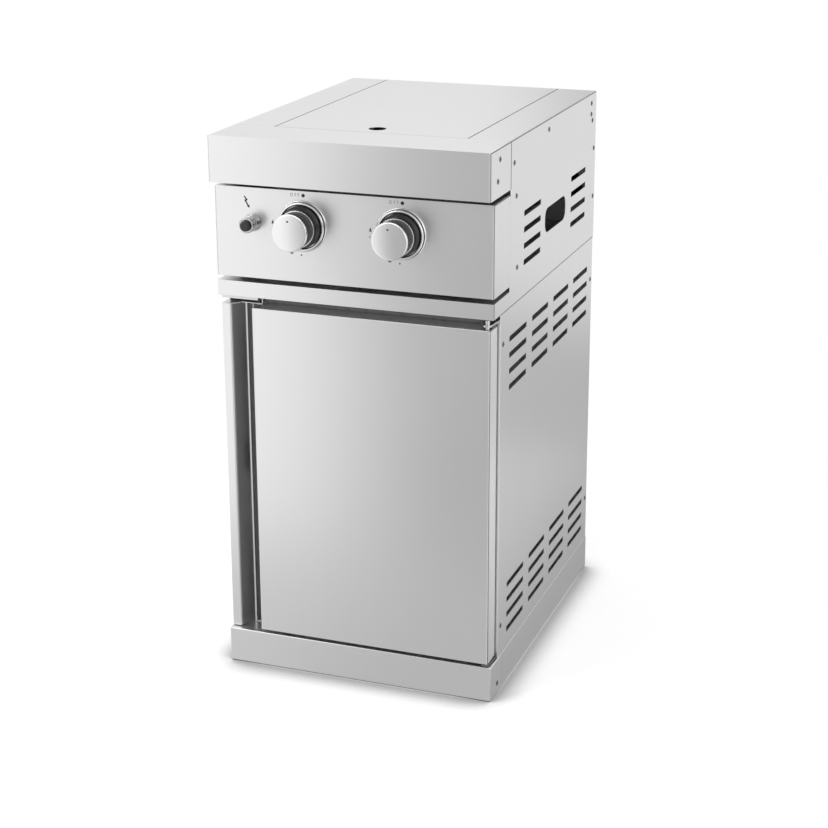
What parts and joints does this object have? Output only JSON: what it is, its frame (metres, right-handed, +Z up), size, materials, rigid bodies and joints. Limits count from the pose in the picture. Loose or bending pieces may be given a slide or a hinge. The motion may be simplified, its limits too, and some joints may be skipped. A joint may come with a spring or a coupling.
{
  "type": "outdoor kitchen side burner module",
  "caption": "Tall narrow stainless outdoor kitchen module: gas side burner under a flush lid, knobs and igniter on the front panel, vented sides, a side-hinged door and a plinth.",
  "frame": {"origin": "on the floor, under the middle of the whole object's box", "axes": "+Z up, -Y towards the front with the knobs and the door, +X to the right seen from the front"},
  "size_m": [0.4622, 0.636, 0.9],
  "materials": {
    "outer_steel": "satin brushed stainless steel sheet",
    "inner_steel": "plain inner stainless sheet",
    "bracket_steel": "zinc plated bright steel",
    "burner_aluminium": "cast, slightly rough",
    "cast_iron": "matt enamelled",
    "burner_brass": "turned",
    "gas_pipe": "drawn tube",
    "spring_steel": "drawn wire",
    "knob_metal": "satin chrome",
    "knob_dark": "moulded, fluted",
    "bezel_chrome": "polished",
    "igniter_black": "moulded",
    "electrode_ceramic": "glazed ceramic rod with steel tip",
    "bush_plastic": "acetal"
  },
  "bodies": {
    "cabinet": {"bottom_hinge_bracket": "bracket_steel", "burner_box_floor": "inner_steel", "burner_tray": "inner_steel", "cabinet_floor": "inner_steel", "control_panel": "outer_steel", "cross_rail": "outer_steel", "front_burner_cap": "burner_brass", "front_burner_head": "burner_aluminium", "front_cap": "outer_steel", "front_mixing_tube": "burner_aluminium", "front_pot_support": "cast_iron", "gas_inlet_fitting": "burner_brass", "gas_manifold": "gas_pipe", "grip_column": "outer_steel", "hinge_pins": "bracket_steel", "igniter_body": "igniter_black", "igniter_collar": "bezel_chrome", "latch_bracket": "outer_steel", "left_bezel": "bezel_chrome", "left_valve": "burner_brass", "levelling_feet": "bracket_steel", "lower_back": "outer_steel", "lower_side_left": "outer_steel", "lower_side_right": "outer_steel", "magnetic_catch": "bush_plastic", "plinth_back": "outer_steel", "plinth_front": "outer_steel", "plinth_left": "outer_steel", "plinth_right": "outer_steel", "rear_burner_cap": "burner_brass", "rear_burner_head": "burner_aluminium", "rear_mixing_tube": "burner_aluminium", "rear_pot_support": "cast_iron", "right_bezel": "bezel_chrome", "right_valve": "burner_brass", "side_screws": "bracket_steel", "spark_electrodes": "electrode_ceramic", "top_hinge_bracket": "bracket_steel", "upper_back": "outer_steel", "upper_side_left": "outer_steel", "upper_side_right": "outer_steel"},
    "door": {"door_outer_skin": "outer_steel", "door_inner_skin": "outer_steel", "door_bushes": "bush_plastic", "strike_plate": "bracket_steel"},
    "lid": {"lid": "outer_steel"},
    "igniter_push": {"igniter_button": "igniter_black", "igniter_spring": "spring_steel"},
    "left_push": {"left_thrust_collar": "burner_brass", "left_valve_spring": "spring_steel"},
    "left_knob": {"left_knob_cap": "knob_metal", "left_knob_grip": "knob_dark", "left_knob_skirt": "knob_dark", "left_valve_stem": "burner_brass"},
    "right_push": {"right_thrust_collar": "burner_brass", "right_valve_spring": "spring_steel"},
    "right_knob": {"right_knob_cap": "knob_metal", "right_knob_grip": "knob_dark", "right_knob_skirt": "knob_dark", "right_valve_stem": "burner_brass"}
  },
  "joints": [
    {"name": "door_hinge", "type": "hinge", "parent": "cabinet", "child": "door", "pos_m": [0.218, -0.2555, 0.3445], "axis": [0, 0, 1], "range_deg": [0, 110]},
    {"name": "lid_lift", "type": "slide", "parent": "cabinet", "child": "lid", "axis": [0, 0, 1], "range_m": [0, 0.12]},
    {"name": "igniter_press", "type": "slide", "parent": "cabinet", "child": "igniter_push", "axis": [0, 1, 0], "range_m": [0, 0.004], "stiffness_N_per_m": 1200, "springref_m": -0.001},
    {"name": "left_knob_press", "type": "slide", "parent": "cabinet", "child": "left_push", "axis": [0, 1, 0], "range_m": [0, 0.003], "stiffness_N_per_m": 2000, "springref_m": -0.001},
    {"name": "left_knob_turn", "type": "hinge", "parent": "left_push", "child": "left_knob", "pos_m": [-0.0815, -0.302, 0.763], "axis": [0, -1, 0], "range_deg": [0, 180]},
    {"name": "right_knob_press", "type": "slide", "parent": "cabinet", "child": "right_push", "axis": [0, 1, 0], "range_m": [0, 0.003], "stiffness_N_per_m": 2000, "springref_m": -0.001},
    {"name": "right_knob_turn", "type": "hinge", "parent": "right_push", "child": "right_knob", "pos_m": [0.0815, -0.302, 0.763], "axis": [0, -1, 0], "range_deg": [0, 180]}
  ]
}
